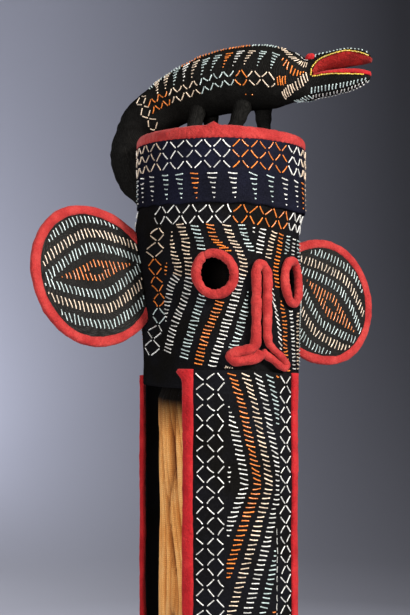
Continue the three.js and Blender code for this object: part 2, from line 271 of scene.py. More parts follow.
class Look:
    """A material in the making. Each method adds a node to it and gives back that node's output."""

    def __init__(self, name):
        self.material = bpy.data.materials.new(name)
        self.material.use_nodes = True
        self.tree = self.material.node_tree

    def fill(self, node, inputs):
        """Sets inputs to plain values, or links them to the outputs of other nodes."""
        for socket, value in inputs.items():
            if isinstance(value, bpy.types.NodeSocket):
                self.tree.links.new(value, node.inputs[socket])
            else:
                node.inputs[socket].default_value = value

    def node(self, kind, inputs):
        node = self.tree.nodes.new(kind)
        self.fill(node, inputs)
        return node

    def at(self, space="Object"):
        return self.node("ShaderNodeTexCoord", {}).outputs[space]

    def attribute(self, name):
        node = self.node("ShaderNodeAttribute", {})
        node.attribute_name = name
        return node.outputs["Fac"]

    def noise(self, scale, detail=3.0, rough=0.6, at=None):
        inputs = {"Vector": at or self.at(), "Scale": scale, "Detail": detail, "Roughness": rough}
        return self.node("ShaderNodeTexNoise", inputs).outputs["Fac"]

    def ramp(self, value, *stops):
        """A value turned into a colour. Each stop is the value and a colour or a grey."""
        ramp = self.node("ShaderNodeValToRGB", {"Fac": value})
        elements = ramp.color_ramp.elements
        while len(elements) < len(stops):
            elements.new(0.5)
        for element, (position, colour) in zip(elements, stops):
            element.position = position
            element.color = (*colour, 1) if isinstance(colour, tuple) else (colour, colour, colour, 1)
        return ramp.outputs["Color"]

    def shaded(self, colour, value, *stops):
        """A colour multiplied by a ramp over a value."""
        mix = self.tree.nodes.new("ShaderNodeMix")
        mix.data_type = "RGBA"
        mix.blend_type = "MULTIPLY"
        self.fill(mix, {0: 1.0, 6: colour, 7: self.ramp(value, *stops)})
        return mix.outputs[2]

    def bump(self, height, distance, strength, under=None):
        bump = self.node("ShaderNodeBump", {"Height": height, "Distance": distance, "Strength": strength})
        if under is not None:
            self.fill(bump, {"Normal": under})
        return bump.outputs["Normal"]

    def weave(self, threads, space="UV"):
        """The height, from 0 to 1, of a plain weave of uneven threads, with that many to the metre."""
        crossed = self.tree.nodes.new("ShaderNodeMath")
        crossed.operation = "MULTIPLY"
        for socket, axis in enumerate("XY"):
            inputs = {"Vector": self.at(space), "Scale": threads / 2 * ONE_WAVE, "Distortion": 1.6}
            wave = self.node("ShaderNodeTexWave", {**inputs, "Detail": 1.0, "Detail Scale": 1.5})
            wave.bands_direction = axis
            self.fill(crossed, {socket: wave.outputs["Fac"]})
        return crossed.outputs[0]

    def done(self, colour, normal, plain):
        """Fills the shader with a colour, a normal if there is one, and plain values."""
        inputs = {"Base Color": colour, **plain}
        if normal is not None:
            inputs["Normal"] = normal
        self.fill(self.tree.nodes["Principled BSDF"], inputs)
        return self.material


def cloth_material(name, dark, pale, threads=1400.0, space="UV"):
    """Plain-woven cloth in two close colours, faded in patches, with lint."""
    look = Look(name)
    colour = look.ramp(look.noise(14.0), (0.35, dark), (0.68, pale))
    height = look.weave(threads, space)
    colour = look.shaded(colour, height, (0.0, 0.45), (0.7, 1.0))
    fuzz = look.noise(650.0)
    colour = look.shaded(colour, fuzz, (0.35, 0.45), (0.7, 1.0))
    normal = look.bump(height, 0.0003, 0.7, look.bump(fuzz, 0.0003, 0.5))
    return look.done(colour, normal, {"Roughness": 0.92, "Specular IOR Level": 0.0})


def felt_material(name, dark, middle, pale):
    """Napped red wool cloth: matted fibres, uneven dye and soft lumps."""
    look = Look(name)
    colour = look.ramp(look.noise(45.0, 4.0), (0.3, dark), (0.52, middle), (0.75, pale))
    fibres = look.noise(900.0, 4.0, 0.75)
    colour = look.shaded(colour, fibres, (0.3, 0.55), (0.65, 1.0))
    normal = look.bump(fibres, 0.0005, 0.8, look.bump(look.noise(260.0, 4.0), 0.003, 0.85))
    sheen = {"Sheen Weight": 0.1, "Sheen Roughness": 0.4, "Sheen Tint": (1.0, 0.45, 0.42, 1)}
    return look.done(colour, normal, {"Roughness": 0.96, "Specular IOR Level": 0.2, **sheen})


def bead_material(name, colour):
    """Opaque glass seed beads, each strand and each bead a little different, with painted shade in the gaps.
    """
    look = Look("beads_" + name)
    darker = tuple(0.4 * c for c in colour)
    paler = tuple(min(1.0, 1.12 * c + 0.01) for c in colour)
    tone = look.ramp(look.attribute("tone"), (0.0, darker), (0.55, colour), (1.0, paler))
    tone = look.shaded(tone, look.noise(600.0, 2.0), (0.3, (0.72, 0.7, 0.66)), (0.55, 1.0))
    return look.done(tone, None, {"Roughness": 0.28, "IOR": 1.5, "Coat Weight": 0.3, "Coat Roughness": 0.12})


def sackcloth_material():
    """Coarse tan cloth with a weave that shows, with painted shade in its folds and a painted shadow that
    turns it near black where it goes up into the hood.
    """
    look = Look("sackcloth")
    stops = [(0.3, (0.86, 0.39, 0.105)), (0.52, (0.98, 0.52, 0.175)), (0.75, (1.0, 0.66, 0.3))]
    colour = look.ramp(look.noise(18.0, 5.0), *stops)
    height = look.weave(760.0)
    colour = look.shaded(colour, height, (0.0, (0.78, 0.7, 0.6)), (0.6, 1.0))
    colour = look.shaded(colour, look.noise(1100.0), (0.3, 0.8), (0.6, 1.0))
    # Painted shade: the cloth darkens to deep brown in its folds, by how deep they are.
    stops = [(0.05, 1.0), (0.35, (0.66, 0.53, 0.42)), (0.85, (0.14, 0.06, 0.03))]
    colour = look.shaded(colour, look.attribute("crease_shade"), *stops)
    # Painted shadow: the cloth turns near black upwards from z 895 mm, as it does in the shade under the
    # hood.
    z = look.node("ShaderNodeSeparateXYZ", {0: look.at()}).outputs["Z"]
    colour = look.shaded(colour, z, (0.895, 1.0), (0.94, 0.003))
    return look.done(colour, look.bump(height, 0.0008, 0.9), {"Roughness": 0.97, "Specular IOR Level": 0.15})


def wood_material():
    """Dark stained wood with its grain along Y, worn a little paler in places."""
    look = Look("dark_wood")
    stretch = look.node("ShaderNodeMapping", {"Vector": look.at(), "Scale": (1.0, 0.06, 1.0)})
    grain = look.noise(260.0, 5.0, at=stretch.outputs["Vector"])
    stops = [(0.3, (0.012, 0.008, 0.006)), (0.55, (0.032, 0.02, 0.013)), (0.8, (0.06, 0.04, 0.026))]
    return look.done(look.ramp(grain, *stops), look.bump(grain, 0.0004, 0.4), {"Roughness": 0.5})


black_cloth = cloth_material("black_cloth", (0.0125, 0.0116, 0.0106), (0.0165, 0.0168, 0.0215))
ear_cloth = cloth_material("ear_cloth", (0.025, 0.024, 0.0225), (0.042, 0.04, 0.037), threads=900.0)
black_stuffed = cloth_material(
    "black_stuffed_cloth", (0.016, 0.0152, 0.0136), (0.0245, 0.024, 0.0223), space="Object"
)
navy_cloth = cloth_material("navy_cloth", (0.0155, 0.016, 0.0255), (0.022, 0.023, 0.045))
# The rolls' felt is a pinker copy of the bindings' crimson felt: a painted highlight, the salmon tint that
# light gives the rolls.
felt = felt_material("red_felt", (0.31, 0.016, 0.016), (0.43, 0.032, 0.029), (0.54, 0.06, 0.051))
# A darker copy of the red felt for the upper jaw's lining: painted shade inside the mouth.
shaded_mouth_felt = felt_material("shaded_mouth_felt", (0.08, 0.004, 0.003), (0.3, 0.01, 0.008), (0.42, 0.024, 0.019))
crimson_felt = felt_material("crimson_felt", (0.33, 0.007, 0.01), (0.46, 0.013, 0.017), (0.54, 0.026, 0.027))
sackcloth = sackcloth_material()
dark_wood = wood_material()
BEAD_COLOURS = dict(
    white=(0.9, 0.89, 0.83),
    cream=(0.95, 0.75, 0.55),
    blue=(0.62, 0.75, 0.72),
    orange=(0.96, 0.26, 0.035),
    yellow=(0.82, 0.58, 0.06),
)
beads = {name: bead_material(name, colour) for name, colour in BEAD_COLOURS.items()}


# Beadwork


class Beadwork:
    """Strands of seed beads, gathered by area and colour, and made into one mesh for each."""

    # How many sides a strand has round it.
    sides = 5

    def __init__(self, area):
        self.area = area
        self.rows = {}

    def strand(self, colour, start, end, normal, bead):
        """One strand from start to end, lying on the cloth whose outward normal is given."""
        self.rows.setdefault(colour, []).append((start, end, normal, bead))

    def build(self):
        for colour, rows in self.rows.items():
            points, faces, tones, first = [], [], [], 0
            for row in rows:
                made = self.tube(*row)
                count = len(made)
                points.append(made)
                rings = count // self.sides
                faces.extend(grid_faces(rings, self.sides, closed=True, start=first))
                faces.append(tuple(range(first + self.sides - 1, first - 1, -1)))
                faces.append(tuple(range(first + count - self.sides, first + count)))
                tone = np.repeat(rng.normal(0.52, 0.13, rings // 2 + 1), 2)[:rings]
                # The tone drops at the gap rings between beads: painted shade in the gaps.
                tone = tone + rng.normal(0, 0.15) - 0.45 * (np.arange(rings) % 2 == 0)
                tones.append(np.repeat(np.clip(tone, 0, 1), self.sides))
                first += count
            piece = add_mesh(f"beads_{self.area}_{colour}", np.vstack(points), faces, beads[colour])
            set_values(piece, "tone", np.concatenate(tones))
            place(piece, slot="beads_" + colour)

    def tube(self, start, end, normal, bead):
        """Rings round the strand, wide at each bead's middle and narrow between beads."""
        along = end - start
        length = max(np.linalg.norm(along), 0.5 * bead)
        along = along / max(np.linalg.norm(along), 1e-6)
        normal = normal - along * (normal @ along)
        normal = normal / np.linalg.norm(normal)
        across = np.cross(along, normal)
        count = max(1, round(length / bead))
        ring = np.arange(2 * count + 1)
        size = np.repeat(rng.normal(1.0, 0.07, count + 1), 2)[: len(ring)]
        radius = 0.5 * bead * np.where(ring % 2 == 1, 0.96, 0.56) * size
        bow = rng.normal(0.3, 0.25) * np.sin(np.pi * ring / ring[-1])
        at = start + np.outer(ring / ring[-1] * length, along)
        at = at + 0.42 * bead * normal + np.outer(bow, across)
        turn = around(self.sides)
        spoke = np.outer(np.cos(turn), normal) + np.outer(np.sin(turn), across)
        return (at[:, None] + radius[:, None, None] * spoke[None]).reshape(-1, 3)


class Cloth:
    """A surface to sew on: at(u, v) is a point of it, and a strand is laid from one (u, v) to another."""

    def __init__(self, at, work, sign=1.0, keep=None, bead=BEAD):
        self.at = at
        self.work = work
        self.sign = sign
        self.keep = keep
        self.bead = bead

    def normal(self, u, v):
        here = self.at(u, v)
        normal = np.cross(self.at(u + 0.5, v) - here, self.at(u, v + 0.5) - here)
        return self.sign * normal / np.linalg.norm(normal)

    def strand(self, colour, a, b, jitter=0.32, bead=None):
        bead = bead or self.bead
        a, b = (np.asarray(p, float) + rng.normal(0, jitter, 2) for p in (a, b))
        if self.keep is not None:
            inside = [t for t in np.linspace(0, 1, 12) if self.keep(*(a + t * (b - a)))]
            if not inside:
                return
            a, b = a + inside[0] * (b - a), a + inside[-1] * (b - a)
            if len(inside) < 12 and np.linalg.norm(b - a) < 1.5 * bead:
                return
        u, v = (a + b) / 2
        self.work.strand(colour, self.at(*a), self.at(*b), self.normal(u, v), bead)

    def stripe(self, colour, path, pitch=ROW_PITCH, half=STRAND / 2, taper=(0, 0), tilt=-9.0, lean=0.0):
        """Strands across a path. taper is the number of shortening strands at each end, tilt the direction
        that they lie in, in degrees, and lean how far they turn with the path."""
        points = np.asarray(path, float)
        length = np.linalg.norm(np.diff(points, axis=0), axis=1).sum()
        count = max(2, round(length / pitch) + 1)
        points = spline(points, count)
        slope = np.gradient(points, axis=0)
        for k, (u, v) in enumerate(points):
            size = min(1.0, (k + 1) / (taper[0] + 1), (count - k) / (taper[1] + 1))
            turn = math.radians(tilt) + rng.normal(0, 0.08)
            turn += math.atan2(slope[k][0], abs(slope[k][1]) + 1e-6) * lean
            step = np.array([math.cos(turn), math.sin(turn)]) * half * size * rng.normal(1.0, 0.07)
            middle = np.array([u, v])
            name = colour if isinstance(colour, str) else colour(u, v)
            self.strand(name, middle - step, middle + step)

    def zigzag(self, colour, start, end, height, half_period, mirrored=False, gap=0.15):
        """Slanting strands from start to end, which make a row of peaks across that line."""
        start, end = np.asarray(start, float), np.asarray(end, float)
        length = np.linalg.norm(end - start)
        along = (end - start) / length
        across = np.array([-along[1], along[0]])
        count = max(1, round(length / half_period))
        for k in range(count):
            a, b = (start + along * length * (k + t) / count for t in (gap, 1 - gap))
            rise = height * (0.5 - gap) * (1 if (k % 2 == 0) != mirrored else -1)
            name = colour if isinstance(colour, str) else colour(*((a + b) / 2))
            self.strand(name, a - across * rise, b + across * rise, jitter=0.5)

    def diamonds(self, colour, start, end, height, half_period):
        """Two mirrored zigzags side by side, each of that height, which make a row of diamonds."""
        start, end = np.asarray(start, float), np.asarray(end, float)
        along = (end - start) / np.linalg.norm(end - start)
        across = np.array([-along[1], along[0]]) * height / 2
        self.zigzag(colour, start + across, end + across, height, half_period)
        self.zigzag(colour, start - across, end - across, height, half_period, mirrored=True)


def changing(*stops):
    """A colour that changes along the cloth. Each stop is a colour and where it ends; the last has no end."""

    def colour(u, v):
        for name, end in stops[:-1]:
            if u < end:
                return name
        return stops[-1]

    return colour


# The hood, its top and the brow band


def hood_at(along, z):
    """The hood's cloth, with its soft lumps, which flatten under the brow band."""
    flat = bent(along, 0.0, z)
    loose = 1 - smooth(np.asarray(z, float), SHOULDER_Z - 12, SHOULDER_Z)
    swell = (0.9 * lumps(flat, 46) + 0.35 * lumps(flat, 15, 5)) * loose - 0.4
    return bent(along, swell, z)


def eye_centre(eye):
    """How far along the hood's cloth the eye's centre is."""
    return math.radians(eye["angle"]) * hood_radius(eye["z"])


def eye_place(eye, along, z):
    """How far a point of the hood is from the eye's centre: 1 is the middle line of the eye's ring."""
    return np.hypot((along - eye_centre(eye)) / eye["half_width"], (z - eye["z"]) / eye["half_height"])


def make_hood():
    """The cloth tube. Points just inside an eye hole are moved onto its edge, which keeps it round."""
    rows, columns = 94, 250
    z = np.linspace(HEM_Z, TOP_Z - 0.3, rows)[:, None]
    along = (around(columns) - np.pi)[None, :] * hood_radius(z)
    z = np.broadcast_to(z, along.shape).copy()
    kept = np.ones(along.shape, bool)
    for eye in (RIGHT_EYE, LEFT_EYE):
        far = eye_place(eye, along, z)
        edge = 1 - (EYE_TUBE - 1.5) / eye["half_width"]
        inner = 0.82 * edge
        kept &= far > inner
        near = (far > inner) & (far < edge)
        along[near] = eye_centre(eye) + (along[near] - eye_centre(eye)) * edge / far[near]
        z[near] = eye["z"] + (z[near] - eye["z"]) * edge / far[near]
    points = hood_at(along, z).reshape(-1, 3)
    kept = kept.ravel()
    number = np.cumsum(kept) - 1
    faces = [f for f in grid_faces(rows, columns, closed=True) if all(kept[k] for k in f)]
    faces = [tuple(int(number[k]) for k in f) for f in faces]
    cloth = np.stack([along, z], axis=-1).reshape(-1, 2)
    piece = add_mesh("hood_cloth", points[kept], faces, black_cloth, uv=cloth[kept])
    thicken(piece, 3.0)
    place(piece, "hood", slot="black_cloth")


def make_hood_top():
    rows, columns = 30, 120
    r = np.linspace(0.5, TOP_RADIUS - 4.2, rows)[:, None]
    turn = around(columns)[None, :]
    flat = np.stack(np.broadcast_arrays(r * np.cos(turn), r * np.sin(turn), TOP_Z - 1.6), axis=-1)
    flat[..., 2] += 1.2 * lumps(flat, 35, 3) - 1.2 * (1 - (r / TOP_RADIUS) ** 2)
    faces = [f[::-1] for f in grid_faces(rows, columns, closed=True)]
    faces.append(tuple(range(columns)))
    piece = add_mesh("hood_top_cloth", slumped(flat), faces, black_cloth, uv=flat[..., :2])
    thicken(piece, 2.0)
    place(piece, "hood_top", slot="black_cloth")


def band_at(along, z):
    """The brow band's cloth: its lower hem stands a little proud."""
    flat = bent(along, 0.0, z)
    hem = 0.8 * hump(np.asarray(z, float) - SHOULDER_Z - 2, 2.2)
    return bent(along, 1.9 + hem + 0.35 * lumps(flat, 30, 9), z)


def make_brow_band():
    rows, columns = 30, 220
    z = np.linspace(SHOULDER_Z - 0.5, TOP_Z - 0.3, rows)[:, None]
    turn = around(columns)[None, :] - np.pi
    along, z = np.broadcast_arrays(turn * TOP_RADIUS, z)
    edge = smooth(z, SHOULDER_Z + 10, SHOULDER_Z)
    z = z + 0.9 * edge * np.sin(turn * 17 + 2 * np.sin(turn * 5))
    cloth = np.stack([along, z], axis=-1)
    faces = grid_faces(rows, columns, closed=True)
    piece = add_mesh("brow_band_cloth", band_at(along, z), faces, navy_cloth, uv=cloth)
    thicken(piece, 1.3)
    place(piece, "brow_band", slot="navy_cloth")


# Red felt rolls and bindings


def make_crown_binding():
    """A strip folded over the crown's edge: tall outside, with a wavy stitched edge and one pinched fold."""
    outer, inner, height, fold_at = 112.3, 99.4, 14.6, -31
    profile = [(outer - 1.6, -0.6), (outer, 1.0), (outer + 0.3, 5.0), (outer - 0.4, 9.5)]
    profile += [(outer - 2.6, 13.0), (outer - 6.2, height)]
    profile += [(inner + 3.6, 12.6), (inner + 0.8, 9.0), (inner, 4.5), (inner + 1.2, 0.4)]
    profile = spline(profile + profile[:1], 27)[:-1]
    angle = np.linspace(-180, 180, 600, endpoint=False)[:, None]
    r, rise = profile[None, :, 0], profile[None, :, 1]
    share = rise / height
    fold = np.clip(1 - np.abs(angle - fold_at) / 5.5, 0, 1) ** 1.4
    swell = 2.2 * hump(angle - fold_at, 26) * share
    wave = np.sin(np.radians(angle) * 92 + 2.0 * np.sin(np.radians(angle) * 9))
    low_edge = smooth(share, 0.5, 0.0) * (r > 108)
    z = TOP_Z - 0.4 + rise + 4.6 * fold * share**2 + swell + 0.7 * wave * low_edge
    points = felt_skin(slumped(turned_about(r, angle, z)), 0.35, 2)
    place(tube_mesh("crown_binding_felt", points, felt, closed=True), "crown_binding", slot="red_felt")


def make_eye_ring(side, eye, joint):
    """A stuffed roll bent into a ring, puckered inside, whose ends meet at an angle joint, in degrees."""
    turn, tube = around(150)[:, None], around(22)[None, :]
    from_joint = (np.degrees(turn) - joint + 180) % 360 - 180
    seam = 1 - 0.2 * hump(from_joint + 4 * np.cos(tube), 3.2) + 0.06 * hump(from_joint - 12, 9)
    pucker = 0.06 * np.sin(turn * 17 + 1.5 * np.sin(turn * 4)) * smooth(-np.cos(tube), 0.0, 1.0)
    size = seam * (1 + pucker + 0.05 * np.sin(turn * 3 + joint))
    across = EYE_TUBE * np.cos(tube) * size
    out = 5.0 + 5.4 * np.sin(tube) * size
    along = eye_centre(eye) + (eye["half_width"] + across) * np.cos(turn)
    z = eye["z"] + (eye["half_height"] + across) * np.sin(turn)
    points = felt_skin(bent(along, out, z), 0.4, joint)
    piece = tube_mesh(f"eye_ring_felt_{side}", points, felt, closed=True)
    place(piece, f"eye_ring_{side}", slot="red_felt", fill=0.95)


def make_nose():
    """One stuffed roll folded in two: two bars side by side, and a flattened loop to each side below."""
    right_loop = [(0.5, 1008), (-3, 1001.5), (-12, 997), (-22, 994.5), (-31, 995), (-35.5, 1000.5)]
    right_loop += [(-29, 1005.5), (-19, 1007.5), (-9.5, 1012)]
    bars = [(-5.5, 1022), (-5.5, 1050), (-5, 1080), (-4, 1108), (3, 1117.5), (10.5, 1108)]
    bars += [(9.5, 1080), (9.2, 1050), (10.5, 1024)]
    left_loop = [(17, 1014), (26, 1008), (35, 1001.5), (41, 994.5), (36, 990.5), (27, 994), (17, 1000)]
    left_loop += [(9, 1003.5), (4, 1009)]
    path = spline(right_loop + bars + left_loop, 260)
    turn = around(18)[None, :]
    ahead = headings(path)
    at = np.linspace(0, 1, len(path))[:, None]
    size = 6.0 + 0.7 * smooth(at, 0.26, 0.2) - 1.0 * smooth(at, 0.68, 0.8)
    size = size * (1 + 0.05 * np.sin(at * 60) + 0.04 * np.sin(at * 143 + 1))
    along = path[:, :1] + size * np.cos(turn) * ahead[:, 1:]
    z = path[:, 1:] - size * np.cos(turn) * ahead[:, :1]
    out = 6.3 + 0.97 * size * np.sin(turn)
    piece = tube_mesh("nose_felt", felt_skin(bent(along, out, z), 0.45, 11), felt, closed=False)
    place(piece, "nose", slot="red_felt", fill=0.9)


# Ears


def ear_frame(ear):
    """The ear's own axes and place: out from the hood, square to the disc, and up."""
    out = outward(ear["heading"])
    back = np.array([0.0, 1.0, 0.0]) - out * out[1]
    back /= np.linalg.norm(back)
    lean = math.radians(ear["lean"])
    up = np.array([0, 0, math.cos(lean)]) + math.sin(lean) * back
    square = np.cross(up, out)
    root = outward(ear["seam"]) * hood_radius(ear["z"]) + out * EAR_REACH
    root[2] = ear["z"]
    return out, square, up, root


def ear_long(turn):
    """How long the disc's outline is on that side: it goes further towards the hood."""
    return np.where(np.cos(turn) > 0, EAR_FAR, EAR_ROOT)


def in_ear(ear, x, y, z):
    """Points of the ear's own plane in the part's frame. y is behind the disc."""
    out, square, up, root = ear_frame(ear)
    x, y, z = (np.asarray(v, float)[..., None] for v in np.broadcast_arrays(x, y, z))
    return root + x * out + y * square + z * up


def ear_puff(x, z):
    """Half the disc's thickness: it is stuffed a little, and thin at the binding."""
    far = np.hypot(x / ear_long(np.arctan2(z, x)), z / EAR_HALF_HEIGHT)
    return 2.2 + 2.6 * smooth(far, 0.92, 0.45) + 0.25 * np.sin(x / 9.0) * np.sin(z / 7.0)


def cut_by_hood(piece):
    """Cuts away what lies inside the hood's wall."""
    z = np.linspace(HEM_Z - 20, SHOULDER_Z + 20, 40)[:, None]
    angle = np.linspace(0, 360, 180, endpoint=False)[None, :]
    points = slumped(turned_about(hood_radius(z) + 0.2, angle, z))
    cutter = tube_mesh("hood_space", points, felt, closed=False)
    modifier = piece.modifiers.new("cut", "BOOLEAN")
    modifier.operation = "DIFFERENCE"
    modifier.solver = "EXACT"
    modifier.object = cutter
    applied(piece)
    bpy.data.objects.remove(cutter)


def make_ear(side, ear):
    under_binding = 9
    turn = around(120)[None, :]
    share = np.linspace(0.03, 1, 26)[:, None]
    x = share * (ear_long(turn) - under_binding) * np.cos(turn)
    z = share * (EAR_HALF_HEIGHT - under_binding) * np.sin(turn)
    front, rear = (in_ear(ear, x, way * ear_puff(x, z), z) for way in (-1, 1))
    cloth = np.tile(np.stack([x, z], axis=-1).reshape(-1, 2), (2, 1))
    rings = np.concatenate([front, rear[::-1]])
    piece = tube_mesh(f"ear_cloth_{side}", rings, ear_cloth, closed=False, uv=cloth)
    cut_by_hood(piece)
    place(piece, f"ear_{side}", slot="black_cloth", fill=0.4)


def make_ear_binding(side, ear):
    """A felt strip folded over the disc's edge."""
    turn, tube = around(200)[:, None], around(20)[None, :]
    uneven = 1 + 0.05 * np.sin(turn * 7 + ear["lean"]) + 0.03 * np.sin(turn * 19)
    inset = 6.4 - 6.4 * blunt(np.cos(tube), 0.75) * uneven
    y = 4.4 * blunt(np.sin(tube), 0.75) * (1 + 0.06 * np.sin(turn * 11 + 2))
    x = (ear_long(turn) - inset) * np.cos(turn)
    z = (EAR_HALF_HEIGHT - inset) * np.sin(turn)
    points = felt_skin(in_ear(ear, x, y, z), 0.35, ear["lean"])
    piece = tube_mesh(f"ear_binding_felt_{side}", points, felt, closed=True)
    cut_by_hood(piece)
    place(piece, f"ear_binding_{side}", slot="red_felt")


# The hanging panels


class Panel:
    """One hanging panel with its bindings. Its right is on the right of someone who looks out from the
    mask's axis, so the back panel's right binding lies on the mask's own left."""

    def __init__(self, side, angle, half_angle, top, seam_z, seed):
        self.side = side
        self.angle = angle
        self.half = PANEL_RADIUS * math.radians(half_angle)
        self.top = top
        self.seam_z = seam_z
        self.seed = seed
        self.low = PANEL_LOW_Z + 13.4

    def hang(self, along, z):
        """How far the cloth swings out: long soft folds that grow downwards."""
        z = np.asarray(z, float)
        free = smooth(z, self.top - 20, self.top - 330)
        folds = np.sin(along / 21 + self.seed + 0.9 * np.sin(z / 190 + self.seed))
        buckle = 0.5 * np.sin(along / 9.5 + z / 120 + self.seed) * np.sin(z / 47 + self.seed)
        return 0.25 + free * (0.9 * folds + buckle) + 0.25 * np.sin(z / 23 + along / 31)

    def bend(self, along, out, z):
        return bent(along, PANEL_OUT + out, z, self.angle, panel_radius)

    def at(self, along, z):
        return self.bend(along, self.hang(along, z), z)

    def make_cloth(self):
        rows, columns = 170, 38
        z = np.linspace(self.low, self.top, rows)[:, None]
        along = np.linspace(-self.half - 3, self.half + 3, columns)[None, :]
        cloth = np.stack(np.broadcast_arrays(along, z), axis=-1)
        faces = grid_faces(rows, columns)
        piece = add_mesh(f"{self.side}_panel_cloth", self.at(along, z), faces, black_cloth, uv=cloth)
        thicken(piece, 2.4)
        return place(piece, f"{self.side}_panel", slot="black_cloth")

    def binding(self, where, points):
        piece = tube_mesh(f"{self.side}_binding_felt_{where}", points, crimson_felt, closed=False)
        return place(piece, f"{self.side}_binding_{where}", slot="red_felt")

    def make_side_binding(self, hand, way):
        """A felt strip folded over the edge and pieced at a seam. The right one's top corner turns out."""
        z = np.linspace(self.low - 2, self.top + 1, 230)[:, None]
        turn = around(18)[None, :]
        above = z - self.seam_z[hand]
        width = 6.8 + np.where(above > 0, 1.5 * np.exp(-above / 14), -1.1 * np.exp(above / 60))
        width = width + 0.35 * np.sin(z / 37 + self.seed) + 0.2 * np.sin(z / 11)
        middle = way * (self.half + 0.4 + BINDING_WIDTH / 2)
        along = middle + width * blunt(np.cos(turn), 0.7)
        if hand == "right":
            corner = 8.5 * smooth(self.top + 1 - z, 15, 2) * smooth(self.top + 2.5 - z, 0, 2.5)
            along = along - corner * blunt(np.maximum(-np.cos(turn), 0), 0.7)
        fold = 3.5 * blunt(np.sin(turn), 0.7) * (1 + 0.08 * np.sin(z / 19))
        points = self.bend(along, 1.0 + self.hang(middle, z) + fold, z)
        return self.binding(hand, felt_skin(points, 0.35, self.seed))

    def make_bottom_binding(self):
        whole = self.half + 0.4 + BINDING_WIDTH
        along = np.linspace(-whole, whole, 120)[:, None]
        turn = around(18)[None, :]
        z = PANEL_LOW_Z + 6.4 + 6.3 * blunt(np.cos(turn), 0.6) + 0.4 * np.sin(along / 13)
        out = 1.0 + self.hang(along, self.low) + 3.4 * blunt(np.sin(turn), 0.6)
        return self.binding("bottom", felt_skin(self.bend(along, out, z), 0.35, self.seed + 3))

    def make(self):
        cloth = self.make_cloth()
        bindings = [self.make_side_binding("right", -1), self.make_side_binding("left", 1)]
        bindings.append(self.make_bottom_binding())


# The stand


def make_bolster():
    """A tall roll in sackcloth that lies in long twisted folds, narrower inside the hood."""
    full = 84
    z = np.concatenate([np.linspace(22.6, 940, 106), np.linspace(950, 1266, 14)])[:, None]
    radius = np.interp(z, [22, 34, 940, 970, 1004, 1036, 1252, 1266], [77, full, full, 72, 50, 36, 36, 24])
    turn, z, radius = np.broadcast_arrays(around(420)[None, :], z, radius)
    twist = 0.09 * np.sin(z / 84 + 3 * turn) + 0.04 * np.sin(z / 29 + 6 * turn) + z / 850
    fine = np.abs(np.sin(21 * (turn + twist) + 1.4 * np.sin(4 * turn)))
    broad = np.abs(np.sin(9 * (turn + 1.2 * twist) + 1.1 + 0.8 * np.sin(2 * turn)))
    crossing = np.abs(np.sin(6.5 * turn - z / 240 + 0.5 * np.sin(3 * turn + z / 60)))
    opened = 0.3 + 0.7 * smooth(np.sin(z / 19 + 5 * turn), -0.3, 0.6)
    depth = 3.4 * (1 - fine) ** 1.7 + 12.0 * opened * (1 - broad) ** 3
    depth = depth + 5.0 * (1.3 - opened) * (1 - crossing) ** 3
    depth = depth + 0.4 * (1 - np.abs(np.sin(57 * (turn + twist))))
    r = radius - depth * smooth(z, 22, 60) * np.clip(radius / full, 0.4, 1)
    cloth = np.stack([turn * full, z], axis=-1)
    rings = turned_about(r, np.degrees(turn), z)
    piece = tube_mesh("bolster_cover", rings, sackcloth, closed=False, uv=cloth)
    # The depth of each fold, which the sackcloth turns into painted shade in the folds.
    set_values(piece, "crease_shade", np.clip(depth / 9, 0, 1))
    place(piece, "support_bolster", slot="sackcloth", fill=0.85)


def make_foot():
    profile = [(0.5, 0), (146, 0), (148.8, 0.8), (150, 2.6), (150, 15.5), (149.2, 18.6), (147, 20.9)]
    profile += [(143.5, 22), (88, 22), (60, 21.8), (0.5, 21.8)]
    r, z = (np.array(column)[:, None] for column in zip(*profile))
    rings = turned_about(r, np.linspace(0, 360, 180, endpoint=False)[None, :], z)
    piece = tube_mesh("foot_board", rings, dark_wood, closed=False)
    bevel = piece.modifiers.new("edges", "BEVEL")
    bevel.width = 0.4 * MM
    bevel.limit_method = "ANGLE"
    place(piece, "support_foot", slot="dark_wood")


# The crocodile, in its own frame: s runs to its head, t to its right, h is height.


AHEAD = outward(CROCODILE_HEADING)
SIDEWAYS = np.array([AHEAD[1], -AHEAD[0], 0.0])

# Its body from the tip of the tail to the back of the jaws: s, h, half width, half height.
BODY = [
    (-119, 1199, 3, 3),
    (-123.5, 1212, 8, 8.7),
    (-131.5, 1228.6, 15, 17),
    (-136.2, 1250, 20, 21.5),
    (-138.8, 1274, 23, 23.5),
    (-130, 1294.5, 26, 26),
    (-112.7, 1317, 29, 30),
    (-88.5, 1330.5, 32, 33),
    (-59, 1346, 35, 36),
    (-8, 1360, 41, 41.6),
    (40, 1364, 42, 43),
    (78, 1362.6, 38, 40),
    (97, 1360.5, 32, 34),
    (114, 1357.5, 25, 29),
    (128, 1357.5, 20.5, 27.5),
]
# The jaws: s, half width, then the heights of the skin's outside, the lips and the red lining's face.
UPPER_JAW = [
    (122, 21, 1384, 1361.5, 1361),
    (131, 21, 1388, 1363.5, 1361.8),
    (138, 20.7, 1389, 1374, 1363.5),
    (152, 20, 1390, 1380.5, 1367.5),
    (173, 18, 1392.5, 1386, 1370),
    (192, 14, 1389.5, 1383, 1371.5),
    (204, 7, 1383, 1378.5, 1373),
]
LOWER_JAW = [
    (122, 20, 1331, 1358, 1360.5),
    (132, 20, 1332, 1359, 1362),
    (150, 19, 1334, 1360.4, 1366),
    (173, 16.5, 1338.5, 1359.8, 1367),
    (193, 12.5, 1345.5, 1358.5, 1364.5),
    (203, 6.5, 1351.5, 1357.5, 1361),
]
# The corner of the mouth, where the yellow line along the lips starts: s.
MOUTH_CORNER = 131
LEG_RADIUS = 9.3
